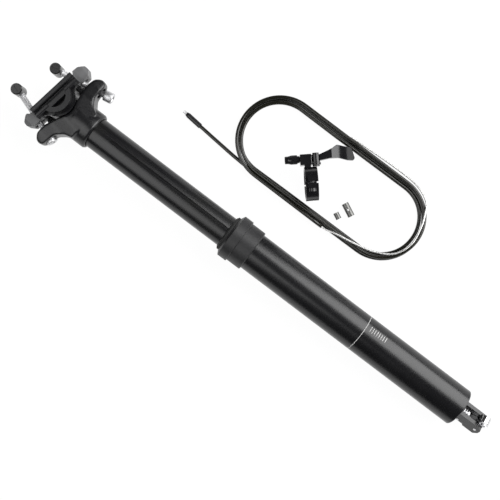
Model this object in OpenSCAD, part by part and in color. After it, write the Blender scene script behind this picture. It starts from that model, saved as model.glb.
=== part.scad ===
// Dropper seatpost with its remote lever and release cable, laid out on a bench.
// X runs up the post's axis to the saddle, Y points to the saddle's rear and Z is up.
// The origin is on the axis, where the exposed lower tube meets its collar.

/* [Lower tube] */
// Outer diameter, which fits the frame's seat tube
tube_d = 30.9; // [29:0.1:34]
// Wall of the lower tube
tube_wall = 1.85; // [1.6:0.05:2.2]
// Length of tube below the collar
insert_length = 201; // [195:1:300]
// Length of the threaded neck that the collar screws onto
neck_length = 19; // [17:0.5:24]
// Thread depth cut into the neck
neck_step = 0.65; // [0.4:0.05:0.7]

/* [Collar] */
// Wall of the collar's lower ring, outside the tube
collar_wall = 1.75; // [1.4:0.05:3]
// Length of the collar's lower ring
collar_length = 12.5; // [8:0.5:15]
// Step out to the collar's grip ring
grip_step = 1.25; // [0.5:0.05:2.5]
// Length of the conical top edge of the collar
collar_cone = 1.6; // [0.8:0.1:2]
// Height that the wiper lip stands above the collar
wiper_height = 3; // [2:0.1:5]
// Thickness of the wiper lip
wiper_lip = 2.2; // [1.5:0.1:3]

/* [Stanchion] */
// Stroke of the post
travel = 125; // [80:1:128]
// Stanchion left showing above the wiper at full drop
drop_margin = 3; // [2:0.5:10]
// Wall of the stanchion
stanchion_wall = 2; // [1.8:0.1:2.5]
// Wall of the plain bushings
bushing_wall = 0.87; // [0.7:0.01:1.2]
// Length of the guide keys
key_length = 10; // [6:0.5:14]
// Width of the guide keys
key_width = 2.6; // [2.4:0.1:5]
// Depth of the key grooves
groove_depth = 0.95; // [0.6:0.05:1.1]
// Direction of the first key groove, seen up the axis
groove_turn = 8; // [0:1:360]

/* [Saddle head] */
// Tilt of the saddle clamp off square to the post
head_tilt = 10; // [0:0.5:18]
// Height of the rails above the head's socket
head_height = 36.5; // [35:0.5:42]
// How far the clamp sits in front of the axis
head_offset = 3.5; // [0:0.5:4]
// Wall of the socket round the stanchion
socket_wall = 2.6; // [2:0.1:4]
// Radius of the round cradle seat
seat_r = 14.6; // [14:0.1:15.5]
// Diameter of the saddle's rails
rail_d = 7; // [6:0.1:7.5]
// Distance between the rails
rail_spacing = 44; // [42:0.5:46]
// Length of the rail grips
grip_length = 41; // [36:1:46]
// Wall outside each rail groove
grip_wall = 1.5; // [1:0.1:3]
// Wall above and below each rail groove
grip_floor = 0.9; // [0.8:0.1:1.5]
// Gap between the two halves of each rail grip
grip_gap = 1.6; // [1:0.1:2]
// Thread diameter of the clamp bolts
bolt_d = 5; // [4:0.5:6]
// Length of the clamp bolts under the head
bolt_length = 45; // [43:0.5:50]
// Diameter of the bolt heads
bolt_head_d = 8.6; // [7:0.1:9]
// Height of the bolt heads
bolt_head_h = 7; // [5:0.5:10]
// Lean of the bolts towards each other
bolt_lean = 14.5; // [13:0.5:16]
// How far the clamp is tipped from the middle of its bolts
clamp_set = 5; // [3:0.5:6]
// How far the loosened front bolt has slid down
bolt_slip = 7.5; // [0:0.5:8]
// Diameter of the barrel nuts
nut_d = 9; // [8:0.1:10]
// Length of the barrel nuts
nut_length = 16; // [12:0.5:20]

/* [Release mechanism] */
// Diameter of the gas spring's rod
rod_d = 10; // [8:0.5:10]
// Diameter of the valve stem
stem_d = 3.8; // [3:0.1:4.2]
// Length of the clevis below the tube's plug
clevis_length = 25.5; // [25:0.5:32]
// Width across the clevis
clevis_w = 13; // [11:0.5:15]
// Thickness of the clevis cheeks
cheek = 3; // [2:0.1:3.5]
// Turn of the clevis about the axis
clevis_turn = 30; // [0:1:360]
// Wire diameter of the stem's return spring
spring_wire = 0.8; // [0.6:0.05:1]
// Turns of the stem's return spring
spring_turns = 5; // [3:1:6]

/* [Remote lever] */
// Handlebar diameter
bar_d = 22.2; // [22:0.1:25.4]
// Wall of the bar clamp
clamp_wall = 2.2; // [2:0.1:3]
// Width of the bar clamp
clamp_w = 10; // [9:0.5:12]
// Radius of the barrel adjuster's grip
adjuster_r = 3.6; // [3.6:0.1:4.2]
// Length of the barrel adjuster outside the perch
adjuster_length = 11.5; // [10.5:0.5:14]

/* [Cable] */
// Outer diameter of the cable housing
housing_d = 3; // [2.8:0.1:3.2]
// Diameter of the inner cable
cable_d = 1.2; // [1.1:0.1:1.6]
// Gap between the two layers of housing
loop_gap = 0.6; // [0.5:0.05:1]
// Gap between the loops side by side
strand_gap = 0.7; // [0.6:0.1:1]
// Loops in the coil
loops = 3; // [3:1:3]

/* [Hidden] */
$fn = 72;
arc_steps = 6;
seat_gap = 0.05;
running_gap = 0.08;
side_gap = 0.3;
black = "#1b1b1d";
satin = "#2b2b2e";
grey = "#6d6e70";
steel = "#c9cacc";
brass = "#b08d4a";
rubber = "#101011";

// Radii that nest from the frame inwards
tube_r = tube_d / 2;
bore_r = tube_r - tube_wall;
neck_r = tube_r - neck_step;
collar_r = tube_r + collar_wall;
grip_r = collar_r + grip_step;
stanchion_r = bore_r - bushing_wall - seat_gap - running_gap;
stanchion_bore_r = stanchion_r - stanchion_wall;
groove_r = stanchion_r - groove_depth;
socket_r = stanchion_r + socket_wall;
cartridge_gap = 0.6;
cartridge_r = stanchion_bore_r - cartridge_gap;
cartridge_wall = 1.5;
cartridge_bore_r = cartridge_r - cartridge_wall;
rod_r = rod_d / 2;
stem_r = stem_d / 2;

// Stations along the axis, from the saddle down
collar_flange = 2.8;
collar_top = neck_length + 0.2 + collar_flange;
wiper_top = collar_top + wiper_height;
socket_low = wiper_top + travel + drop_margin;
head_x = socket_low + head_height;
socket_floor = 3;
socket_top = head_x - seat_r - socket_floor;
plug_depth = 10;
plug_recess = 2;
drop_gap = 4;
foot_x = plug_recess - insert_length;
plug_top = foot_x + plug_depth;
stanchion_low = plug_top + drop_gap + travel;
lower_bushing_length = 14;
key_low = 2;
key_high = key_low + key_length;
groove_top = key_high + travel + 0.5;
groove_low = stanchion_low + lower_bushing_length + 2;
cartridge_low = stanchion_low + 4;
cartridge_top = socket_top - 10;
gland_length = 12;
piston_low = cartridge_low + gland_length + 2;
piston_length = 7;
rod_top = piston_low + piston_length + 1;
rod_low = foot_x + 3;

// Saddle clamp, about the centre of the cradle seat
cradle_r = seat_r - side_gap;
rail_r = rail_d / 2;
rail_z = rail_spacing / 2;
clamp_half = rail_z + rail_r + grip_wall;
lip_inner = rail_z - rail_r - 1;
web_r = cradle_r - 1.4;
pocket_r = web_r - 3.8;
pocket_top = -grip_gap / 2 - 1.1;
bolt_r = bolt_d / 2;
hole_gap = 0.4;
bolt_seat_n = -13;
bolt_seat_y = seat_r + bolt_head_d / 2 + 6.6;
bolt_bore_depth = 8;
nut_r = nut_d / 2;
nut_at = bolt_length - 3.3;
spine_low = 1.6;
spine_top = 5;
lug_low = -2.2;
lug_top = 8.4;
lug_y = 32;
slot_slack = 2.1;
yoke_half = socket_r - 0.6;

// Release clevis, below the plug's face
clevis_gap_r = clevis_w / 2 - cheek;
pivot_drop = clevis_length - 4;
pivot_t = -1;
pin_r = 1.2;
stem_reach = pivot_drop - 9.8;
stem_head_r = 2.9;
stem_head_h = 1.8;
nose_r = 2.9;
nose_at = [6.6, -3.4];
hook_at = [-1, 7.4];
hook_r = 4.4;
anchor_r = 2.75;
anchor_length = 11.5;
grub_r = 2.2;
grub_length = 5.5;

// Remote lever, about the handlebar's axis: u along the bar, v to the lever, w up
bar_r = bar_d / 2;
clamp_r = bar_r + clamp_wall;
split = 0.6;
screw_r = 1.6;
screw_head_r = 2.8;
screw_head_h = 2.4;
screw_w = bar_r + screw_r + 1.6;
lug_v = 4.8;
// The lugs stand the clamp high enough for its bar to pass over the coil
lug_end = max(screw_w + screw_head_r + 0.6, bar_r + 2 * housing_d + loop_gap + 0.5);
ear_h = 1.6;
pivot_head_h = 1.2;
perch_half = 4.2;
perch_low_u = -7.6;
perch_high_u = 1.2;
perch_low_v = clamp_r + 0.2 + pivot_head_h + ear_h;
cable_v = perch_low_v + 3.4;
perch_high_v = cable_v + 3.4;
hub_r = 3.3;
pivot_u = perch_high_u + side_gap + hub_r;
hub_low_v = perch_low_v + side_gap;
hub_high_v = perch_high_v - 0.4;
pivot_r = 1.6;
bush_r = 2.1;
thread_r = 2.2;
thread_length = 5;

// The bench that everything lies on: it meets the cradle's low edge and the tube's foot
floor_tilt = atan((clamp_half - tube_r) / (head_x - cradle_r + insert_length));
function floor_z(x) = -tube_r - (x + insert_length) * tan(floor_tilt);
floor_run = [cos(floor_tilt), 0, -sin(floor_tilt)];

// Cable housing: loops round a long oval, in two layers
coil_at = [-15, -84.5];
coil_half_length = 51;
coil_r = 35.6;
loop_steps = 24;
end_steps = 9;
side_steps = 3;
housing_r = housing_d / 2;
cable_r = cable_d / 2;
layer_rise = housing_d + loop_gap;
strand_pitch = housing_d + strand_gap;
coil_from = 1;
coil_to = coil_from + loops * loop_steps;
climb_steps = loop_steps / 2;
ferrule_r = 2.1;
ferrule_length = 15;
cable_head_r = 1.3;
cable_head_length = 3;
// Free end of the housing: x and y from the coil's low end, and its share of the ferrule's lift
tail_route = [[0, 0, 1], [12, 0, 1], [27, 0, 1], [44, 0, 1], [58, -0.1, 1], [70, -0.3, 1], [82, -0.8, 1],
    [92, -1.3, 0.8], [102, -2.1, 0.5], [112, -2.9, 0.2], [120, -3.6, 0], [126, -4.1, 0]];
tail_yaw = -5.5;
// Bare inner cable: x and y from the coil's high end, and its share of the way up onto the coil
cable_route = [[-4, -0.1, 0.72], [-12.6, -2.6, 0.98], [-27, -5.8, 1], [-43.5, -10.4, 1], [-57.3, -18.4, 1],
    [-63.8, -31.7, 1], [-62.2, -47, 1], [-58.2, -58.9, 1], [-54, -65.4, 0.85], [-44.6, -70.8, 0.5],
    [-32.7, -73.1, 0.2], [-15.7, -73.4, 0.04], [-2, -73, 0], [12, -72.3, 0], [24, -71.7, 0]];

// Where the loose kit lies on the bench: x, y and turn about the bench's normal
remote_at = [-5.4, -69.8];
remote_turn = 221;
anchor_at = [-41, -72.5];
anchor_turn = 154;
grub_at = [-37, -63.5];
grub_turn = 154;

function unit(v) = v / norm(v);

// One corner of an outline, [x, y, radius], as points along its round
function corner(prev, here, next) =
    let (p = [here.x, here.y], a = unit([prev.x, prev.y] - p), b = unit([next.x, next.y] - p),
         half = acos(a * b) / 2, centre = p + unit(a + b) * here.z / sin(half),
         first = p + a * here.z / tan(half) - centre, last = p + b * here.z / tan(half) - centre,
         start = atan2(first.y, first.x), turn = atan2(last.y, last.x) - start,
         sweep = turn > 180 ? turn - 360 : turn < -180 ? turn + 360 : turn)
    here.z == 0 ? [p]
        : [for (i = [0:arc_steps]) let (at = start + sweep * i / arc_steps)
            centre + here.z * [cos(at), sin(at)]];

function rounded(corners) = let (n = len(corners))
    [for (i = [0:n - 1]) each corner(corners[(i + n - 1) % n], corners[i], corners[(i + 1) % n])];

// A half outline and its mirror image across the first axis
function mirrored(half) = concat(half, [for (i = [len(half) - 1:-1:0]) [half[i].x, -half[i].y, half[i].z]]);

// A smooth curve through hand-set points, with a number of steps between each two
function spline(p, steps) = let (n = len(p) - 1)
    [for (i = [0:n - 1]) let (a = p[max(i - 1, 0)], b = p[i], c = p[i + 1], d = p[min(i + 2, n)])
        for (k = [0:i == n - 1 ? steps : steps - 1]) let (t = k / steps)
            b + (c - a) * t / 2 + (a - b * 2.5 + c * 2 - d / 2) * t * t
                + (b * 1.5 - c * 1.5 + d / 2 - a / 2) * t * t * t];

// A route over the bench from a point, with its heights as shares between two heights
function on_bench(route, from, low, high) = [for (p = route)
    [from.x + p.x, from.y + p.y, floor_z(from.x + p.x) + low + p.z * (high - low)]];

// Directions along a path, with set directions at its two ends
function headings(path, first, last) = let (n = len(path) - 1)
    [for (i = [0:n]) i == 0 ? first : i == n ? last : unit(path[i + 1] - path[i - 1])];

// A round tube swept along a path as one closed surface
module tube(path, radius, sides, up, first, last) {
    n = len(path);
    dirs = headings(path, first, last);
    points = [for (i = [0:n - 1]) let (side = unit(cross(dirs[i], up)), top = cross(side, dirs[i]))
        for (k = [0:sides - 1]) path[i] + radius * (cos(360 * k / sides) * side + sin(360 * k / sides) * top)];
    walls = [for (i = [0:n - 2], k = [0:sides - 1]) let (a = i * sides + k, b = i * sides + (k + 1) % sides)
        each [[a, b, b + sides], [a, b + sides, a + sides]]];
    low_cap = [for (k = [1:sides - 2]) [0, k + 1, k]];
    high_cap = [for (k = [1:sides - 2]) (n - 1) * sides * [1, 1, 1] + [0, k, k + 1]];
    polyhedron(points, concat(walls, low_cap, high_cap));
}

// Least clear distance between parts of a path that are some steps apart
function least_gap(path, diameter, skip) = let (n = len(path) - 1)
    min([for (i = [0:n - skip], j = [i + skip:n]) norm(path[i] - path[j])]) - diameter;

// A turned piece about the post's axis, from [radius, x] points
module lathe(profile) rotate([0, 90, 0]) rotate_extrude() polygon(profile);

module sleeve(inner, outer, low, high) lathe([[inner, low], [outer, low], [outer, high], [inner, high]]);

// A rounded link between two circles of an outline
module link(a, a_r, b, b_r) {
    side = unit([b.y - a.y, a.x - b.x]) * 0.92;
    translate(a) circle(a_r);
    translate(b) circle(b_r);
    polygon([a + side * a_r, b + side * b_r, b - side * b_r, a - side * a_r]);
}

// Frame of the saddle clamp: x is up to the saddle, y is to the rear
module in_head() translate([head_x, -head_offset, 0]) rotate(-head_tilt) children();

// Frame of one clamp bolt: z runs up the bolt from the seat of its head, side 1 is the rear
module in_bolt(side) in_head() translate([bolt_seat_n, side * bolt_seat_y, 0])
    rotate(clamp_set - side * bolt_lean) rotate([0, 90, 0]) children();

// Frame of the release clevis: x up the axis from the plug's face, y along the pins, z out of the open side
module in_clevis() translate([foot_x, 0, 0]) rotate([clevis_turn, 0, 0]) children();

module in_clevis_side() in_clevis() rotate([90, 0, 0]) children();

module lying(at, turn, height) translate([at.x, at.y, floor_z(at.x)]) rotate([0, floor_tilt, 0])
    rotate(turn) translate([0, 0, height]) children();

module in_remote() lying(remote_at, remote_turn, lug_end) children();

// Lower tube and collar

module outer_tube() color(black) lathe([
    [bore_r, -insert_length], [tube_r - 0.6, -insert_length], [tube_r, 0.6 - insert_length], [tube_r, 0],
    [neck_r, 0], [neck_r, neck_length], [bore_r, neck_length]]);

module collar() color(black) lathe([
    [neck_r + seat_gap, 0], [collar_r - 0.6, 0], [collar_r, 0.6], [collar_r, collar_length],
    [grip_r - 0.4, collar_length], [grip_r, collar_length + 0.4], [grip_r, collar_top - collar_cone],
    [bore_r + 2, collar_top], [bore_r, collar_top], [bore_r, collar_top - collar_flange],
    [neck_r + seat_gap, collar_top - collar_flange]]);

module wiper_seal() color(rubber) {
    lip_r = stanchion_r + 0.15;
    lathe([
        [lip_r, collar_top - collar_flange + seat_gap],
        [bore_r - seat_gap, collar_top - collar_flange + seat_gap],
        [bore_r - seat_gap, collar_top + seat_gap], [lip_r + wiper_lip, collar_top + seat_gap],
        [lip_r + wiper_lip, wiper_top - 1.2], [lip_r + 0.4, wiper_top], [lip_r, wiper_top]]);
}

module key_bars(width, inner, outer, low, high) for (i = [0:2]) rotate([groove_turn + 120 * i, 0, 0])
    translate([low, -width / 2, inner]) cube([high - low, width, outer - inner]);

module upper_bushing() color(brass) difference() {
    sleeve(stanchion_r + running_gap, bore_r - seat_gap, 1, neck_length - 0.2);
    key_bars(key_width + 0.1, groove_r, tube_r, key_low, key_high);
}

module guide_keys() color(brass) intersection() {
    sleeve(groove_r + 0.2, bore_r - seat_gap, key_low + seat_gap, key_high - seat_gap);
    key_bars(key_width, groove_r, tube_r, key_low, key_high);
}

// Sliding stanchion and saddle head

module stanchion() color(black) difference() {
    sleeve(stanchion_bore_r, stanchion_r, stanchion_low, socket_top - seat_gap);
    key_bars(key_width + 0.3, groove_r, tube_r, groove_low, groove_top);
}

module lower_bushing() color(brass) lathe([
    [stanchion_r + 0.02, stanchion_low], [bore_r - 0.6, stanchion_low],
    [bore_r - running_gap, stanchion_low + 0.6], [bore_r - running_gap, stanchion_low + lower_bushing_length],
    [stanchion_r + 0.02, stanchion_low + lower_bushing_length]]);

// Side outline of the forged arms, [up, rear, corner radius], and their outline seen from the saddle
ear_tip = bolt_seat_y + bolt_head_d / 2 + 5.6;
arm_side = [[-12, 6, 0], [-9.6, 14, 5], [-6.9, 21, 4], [-7.2, ear_tip - 5, 3.5], [-10.5, ear_tip - 1, 3.5],
    [-16.7, ear_tip, 4], [-18.1, bolt_seat_y - 4.5, 4], [-23, 15.5, 7], [-29.5, 13, 0]];
arm_plan = [[yoke_half, 6, 3], [9.6, 17, 6], [9, ear_tip - 8, 4], [6, ear_tip, 4]];

module arms() in_head() intersection() {
    linear_extrude(2 * yoke_half, center = true) polygon(rounded(mirrored(arm_side)));
    rotate([0, 90, 0]) linear_extrude(60, center = true)
        polygon(rounded(concat(
            [for (p = arm_plan) [-p.x, p.y, p.z]],
            [for (i = [3:-1:0]) let (p = arm_plan[i]) p],
            [for (p = arm_plan) [p.x, -p.y, p.z]],
            [for (i = [3:-1:0]) let (p = arm_plan[i]) [-p.x, -p.y, p.z]])));
}

module head_yoke() color(satin) difference() {
    union() {
        lathe([[0, socket_low + 1], [stanchion_r + 0.6, socket_low], [socket_r - 0.9, socket_low],
            [socket_r, socket_low + 1.4], [socket_r, socket_top - 1], [0, socket_top - 1]]);
        arms();
    }
    sleeve(0, stanchion_r + seat_gap, socket_low - 1, socket_top);
    in_head() cylinder(h = 80, r = seat_r, center = true);
    for (side = [-1, 1]) in_bolt(side) {
        translate([0, 0, -20]) cylinder(h = 20, r = bolt_head_d / 2 + hole_gap);
        cylinder(h = 12, r = bolt_r + hole_gap);
    }
}

module rails() for (side = [-1, 1]) translate([0, 0, side * rail_z]) rotate([90, 0, 0])
    cylinder(h = grip_length + 40, r = rail_r, center = true);

// One lip of a rail grip, from low to high, with its outer edges broken
module lips(low, high) for (side = [-1, 1]) mirror([0, 0, side < 0 ? 1 : 0])
    rotate([90, 0, 0]) linear_extrude(grip_length, center = true)
        polygon(rounded([[low, lip_inner, 1], [low, clamp_half, 1.2],
            [high, clamp_half, 1.2], [high, lip_inner, 1]]));

module lower_cradle() color(black) in_head() {
    low = -rail_r - grip_floor;
    difference() {
        union() {
            difference() {
                union() {
                    cylinder(h = 2 * yoke_half + 0.4, r = cradle_r, center = true);
                    cylinder(h = 2 * clamp_half - 1, r = web_r, center = true);
                }
                translate([-grip_gap / 2, -50, -50]) cube(100);
            }
            lips(low, -grip_gap / 2);
            for (side = [-1, 1], end = [-1, 1]) translate([0, 0, side * (rail_z - 3)])
                linear_extrude(2, center = true)
                    polygon([[low + 1, end * (grip_length / 2 - 2)], [low + 1, end * 9], [-10, end * 9]]);
        }
        rails();
        for (side = [-1, 1]) intersection() {
            translate([0, 0, side * clamp_half]) union() {
                cylinder(h = 2.2, r = pocket_r, center = true);
                translate([low - 0.9 - 30, -20, -8.5]) cube([30, 40, 17]);
            }
            cylinder(h = 80, r = pocket_r, center = true);
            translate([pocket_top - 30, -20, -40]) cube([30, 40, 80]);
        }
        translate([-6, -9, -lip_inner + 4]) cube([20, 18, 2 * lip_inner - 8]);
    }
}

// A round-ended passage for a bolt that leans as the clamp tilts
module bolt_slot(side) in_bolt(side) {
    for (end = [-1, 1]) translate([0, end * slot_slack, 0]) cylinder(h = 40, r = bolt_r + hole_gap);
    translate([-bolt_r - hole_gap, -slot_slack, 0]) cube([2 * (bolt_r + hole_gap), 2 * slot_slack, 40]);
}

module upper_clamp() color(grey) difference() {
    in_head() union() {
        lips(grip_gap / 2, rail_r + grip_floor);
        translate([spine_low, -14, -lip_inner - 1]) cube([spine_top - spine_low - 0.4, 28, 2 * lip_inner + 2]);
        intersection() {
            linear_extrude(17, center = true) polygon(rounded(mirrored(
                [[spine_top, 11, 3], [lug_top, 16.5, 3], [lug_top, lug_y - 5, 2.5], [5.5, lug_y, 2],
                 [2, lug_y + 0.3, 1.5], [lug_low, lug_y - 3.5, 1.5], [lug_low, 18, 1.5], [spine_low, 17, 1]])));
            rotate([0, 90, 0]) linear_extrude(60, center = true) polygon(rounded(
                [[-9, -20, 3], [-9, 20, 3], [-7.6, lug_y - 3, 2], [-5, lug_y + 1, 1],
                 [5, lug_y + 1, 1], [7.6, lug_y - 3, 2], [9, 20, 3], [9, -20, 3],
                 [7.6, 3 - lug_y, 2], [5, -lug_y - 1, 1], [-5, -lug_y - 1, 1], [-7.6, 3 - lug_y, 2]]));
        }
    }
    in_head() rails();
    for (side = [-1, 1]) {
        bolt_slot(side);
        in_bolt(side) translate([0, 0, (lug_top + 2.2 - bolt_seat_n) / cos(bolt_lean)]) rotate([0, 90, 0])
            cylinder(h = nut_length + 10, r = nut_r + side_gap, center = true);
    }
}

module clamp_bolt(side, slip) color(steel) in_bolt(side) translate([0, 0, -slip]) difference() {
    union() {
        rotate_extrude() polygon([[0, -bolt_head_h], [bolt_head_d / 2 - 0.6, -bolt_head_h],
            [bolt_head_d / 2, 0.6 - bolt_head_h], [bolt_head_d / 2, 0], [0, 0]]);
        cylinder(h = bolt_length, r = bolt_r);
    }
    translate([0, 0, -bolt_head_h - 1]) cylinder(h = 5, r = bolt_d * 0.46, $fn = 6);
}

module front_bolt() clamp_bolt(-1, bolt_slip);
module rear_bolt() clamp_bolt(1, 0);

module barrel_nut(side, slip) color(rubber) in_bolt(side) translate([0, 0, nut_at - slip]) difference() {
    rotate([0, 90, 0]) rotate_extrude() polygon([[0, -nut_length / 2], [nut_r - 0.7, -nut_length / 2],
        [nut_r, 0.7 - nut_length / 2], [nut_r, nut_length / 2 - 0.7],
        [nut_r - 0.7, nut_length / 2], [0, nut_length / 2]]);
    translate([0, 0, -20]) cylinder(h = 23.5, r = bolt_r + seat_gap);
    for (end = [-1, 1]) translate([end * nut_length / 2, 0, 0]) cube([1.2, 0.9, nut_d * 0.6], center = true);
}

module front_barrel_nut() barrel_nut(-1, bolt_slip);
module rear_barrel_nut() barrel_nut(1, 0);

// Gas spring and release mechanism

module cartridge_tube() color(steel) sleeve(cartridge_bore_r, cartridge_r, cartridge_low, cartridge_top);

module cartridge_gland() color(brass)
    sleeve(rod_r + running_gap, cartridge_bore_r - seat_gap, cartridge_low, cartridge_low + gland_length);

module cartridge_cap() color(black) lathe([
    [0, cartridge_top - 12], [cartridge_bore_r - seat_gap, cartridge_top - 12],
    [cartridge_bore_r - seat_gap, cartridge_top + seat_gap], [cartridge_r, cartridge_top + seat_gap],
    [cartridge_r, cartridge_top + 4], [5, cartridge_top + 4], [5, socket_top], [0, socket_top]]);

module piston_rod() color(steel) sleeve(stem_r + side_gap, rod_r, rod_low, rod_top);

module piston() color(brass) difference() {
    sleeve(rod_r + 0.02, cartridge_bore_r - running_gap, piston_low, piston_low + piston_length);
    sleeve(cartridge_bore_r - 1.2, cartridge_bore_r + 1, piston_low + 2.5, piston_low + 4.5);
}

module valve_stem() color(steel) union() {
    sleeve(0, stem_r, foot_x - stem_reach + 1, rod_top - 8);
    lathe([[0, foot_x - stem_reach], [stem_head_r - 0.4, foot_x - stem_reach],
        [stem_head_r, foot_x - stem_reach + 0.4], [stem_head_r, foot_x - stem_reach + stem_head_h],
        [0, foot_x - stem_reach + stem_head_h]]);
}

cheek_side = [[3, 5, 0], [-clevis_length + 4, 5, 1.5], [-clevis_length, 1, 1.5], [-clevis_length, -3.5, 1.5],
    [-clevis_length + 2, -7.6, 1.2], [-clevis_length + 12, -7.6, 0.6],
    [-clevis_length + 13, -5.8, 0.6], [3, -5.8, 0]];

module release_clevis() color(black) difference() {
    union() {
        sleeve(stem_r + side_gap, bore_r - seat_gap, foot_x, plug_top);
        for (side = [-1, 1]) in_clevis() translate([0, side * (clevis_w - cheek) / 2, 0]) rotate([90, 0, 0])
            linear_extrude(cheek, center = true) polygon(rounded(cheek_side));
    }
    sleeve(0, rod_r + seat_gap, rod_low, plug_top + 1);
    in_clevis_side() for (at = [[-pivot_drop, pivot_t], [-7, -4.4]]) translate([at.x, at.y, 0])
        cylinder(h = 40, r = pin_r + seat_gap, center = true);
}

module clevis_pin(at) color(steel) in_clevis_side() translate([at.x, at.y, 0])
    cylinder(h = clevis_w + 0.6, r = pin_r, center = true);

module lever_pin() clevis_pin([-pivot_drop, pivot_t]);
module stop_pin() clevis_pin([-7, -4.4]);

module release_lever() color(steel) in_clevis_side() translate([-pivot_drop, pivot_t, 0]) difference() {
    linear_extrude(2 * (clevis_gap_r - side_gap), center = true) {
        link([0, 0], 3.2, nose_at, nose_r);
        link([0, 0], 3.2, hook_at, hook_r);
    }
    cylinder(h = 40, r = pin_r + running_gap, center = true);
    translate(hook_at) cylinder(h = 40, r = anchor_r + side_gap / 2, center = true);
    translate([hook_at.x - 0.7 - 20, hook_at.y - 0.7, -20]) cube([20, 1.4, 40]);
}

spring_r = stem_r + side_gap + spring_wire / 2 + 0.3;
spring_span = stem_reach - stem_head_h - spring_wire - 0.2;
spring_path = [for (i = [0:8 * spring_turns]) let (t = i / 8)
    [foot_x - spring_wire / 2 - 0.1 - spring_span * t / spring_turns,
        spring_r * cos(360 * t), spring_r * sin(360 * t)]];

module stem_spring() color(steel) tube(spring_path, spring_wire / 2, 6, [1, 0, 0], [0, 0, 1], [0, 0, 1]);

// Remote lever, in its own frame

module clamp_half_ring(side) intersection() {
    difference() {
        union() {
            rotate([0, 90, 0]) cylinder(h = clamp_w, r = clamp_r, center = true);
            for (end = [-1, 1]) translate([0, 0, end * (bar_r + lug_end) / 2])
                cube([2 * perch_half - 2, 2 * lug_v, lug_end - bar_r], center = true);
        }
        rotate([0, 90, 0]) cylinder(h = clamp_w + 2, r = bar_r, center = true);
        for (end = [-1, 1]) translate([0, 0, end * screw_w]) rotate([90, 0, 0]) {
            cylinder(h = 40, r = screw_r + seat_gap, center = true);
            translate([0, 0, lug_v]) cylinder(h = 20, r = screw_head_r + side_gap);
        }
    }
    translate([-20, side > 0 ? split : -40 - split, -40]) cube([40, 40, 80]);
}

module remote_perch() color(satin) in_remote() difference() {
    union() {
        clamp_half_ring(1);
        translate([-4.4, bar_r + 1.4, -perch_half + 0.6])
            cube([5, perch_low_v - bar_r, 2 * perch_half - 1.2]);
        translate([perch_low_u, perch_low_v - ear_h, -perch_half])
            cube([perch_high_u - perch_low_u, perch_high_v - perch_low_v + ear_h, 2 * perch_half]);
        translate([0, perch_low_v, 0]) rotate([90, 0, 0]) linear_extrude(ear_h)
            link([0, 0], perch_half - 0.4, [pivot_u, 0], perch_half - 0.4);
    }
    translate([perch_low_u - 20, cable_v, 0]) rotate([0, 90, 0])
        cylinder(h = 20 + thread_length, r = thread_r + seat_gap);
    translate([-30, cable_v, 0]) rotate([0, 90, 0]) cylinder(h = 40, r = cable_r + 0.4);
    translate([pivot_u, perch_low_v - ear_h - 1, 0]) rotate([-90, 0, 0])
        cylinder(h = ear_h + 2, r = pivot_r + seat_gap);
}

module bar_strap() color(satin) in_remote() clamp_half_ring(-1);

module strap_screws() color(steel) in_remote()
    for (end = [-1, 1]) translate([0, -lug_v, end * screw_w]) rotate([-90, 0, 0]) difference() {
        union() {
            cylinder(h = 2 * lug_v - 0.6, r = screw_r);
            translate([0, 0, -screw_head_h]) cylinder(h = screw_head_h, r = screw_head_r);
        }
        translate([0, 0, -screw_head_h - 1]) cylinder(h = 2.4, r = 1.5, $fn = 6);
    }

// Thumb paddle, [u, v, corner radius] from the pivot
paddle = [[3, -2, 0], [11.2, -0.7, 5], [17.8, -0.8, 6], [24.3, -3, 6], [29.1, -3.7, 1.2],
    [30.2, -2.2, 1.2], [28.4, 5.4, 1.5], [27.1, 6.6, 1.2], [16.9, 9.7, 2], [13, 7, 3],
    [10.3, 5.7, 4], [3, 2.9, 0]];
dish_r = 18;
dish_u = 21;

module thumb_lever() color(black) in_remote() translate([pivot_u, cable_v, 0]) difference() {
    union() {
        translate([0, hub_low_v - cable_v, 0]) rotate([-90, 0, 0])
            cylinder(h = hub_high_v - hub_low_v, r = hub_r);
        linear_extrude(5, center = true) polygon(rounded(paddle));
    }
    translate([dish_u, 0, dish_r + 0.4]) rotate([90, 0, 0]) cylinder(h = 60, r = dish_r, center = true);
    translate([dish_u, 0, -dish_r - 1.2]) rotate([90, 0, 0]) cylinder(h = 60, r = dish_r - 0.6, center = true);
    rotate([90, 0, 0]) cylinder(h = 40, r = bush_r + seat_gap, center = true);
}

module pivot_bushing() color(brass) in_remote() translate([pivot_u, hub_low_v, 0]) rotate([-90, 0, 0])
    difference() {
        cylinder(h = hub_high_v - hub_low_v, r = bush_r);
        translate([0, 0, -1]) cylinder(h = 40, r = pivot_r + running_gap);
    }

module pivot_bolt() color(steel) in_remote() translate([pivot_u, perch_low_v - ear_h, 0]) rotate([-90, 0, 0]) {
    shank = hub_high_v - perch_low_v + ear_h + side_gap;
    difference() {
        union() {
            translate([0, 0, -pivot_head_h]) cylinder(h = pivot_head_h, r = 2.8);
            cylinder(h = shank + 0.5, r = pivot_r);
            translate([0, 0, shank]) cylinder(h = 1, r = 2.6);
        }
        translate([0, 0, shank - 0.6]) cylinder(h = 3, r = 1.2, $fn = 6);
    }
}

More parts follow.
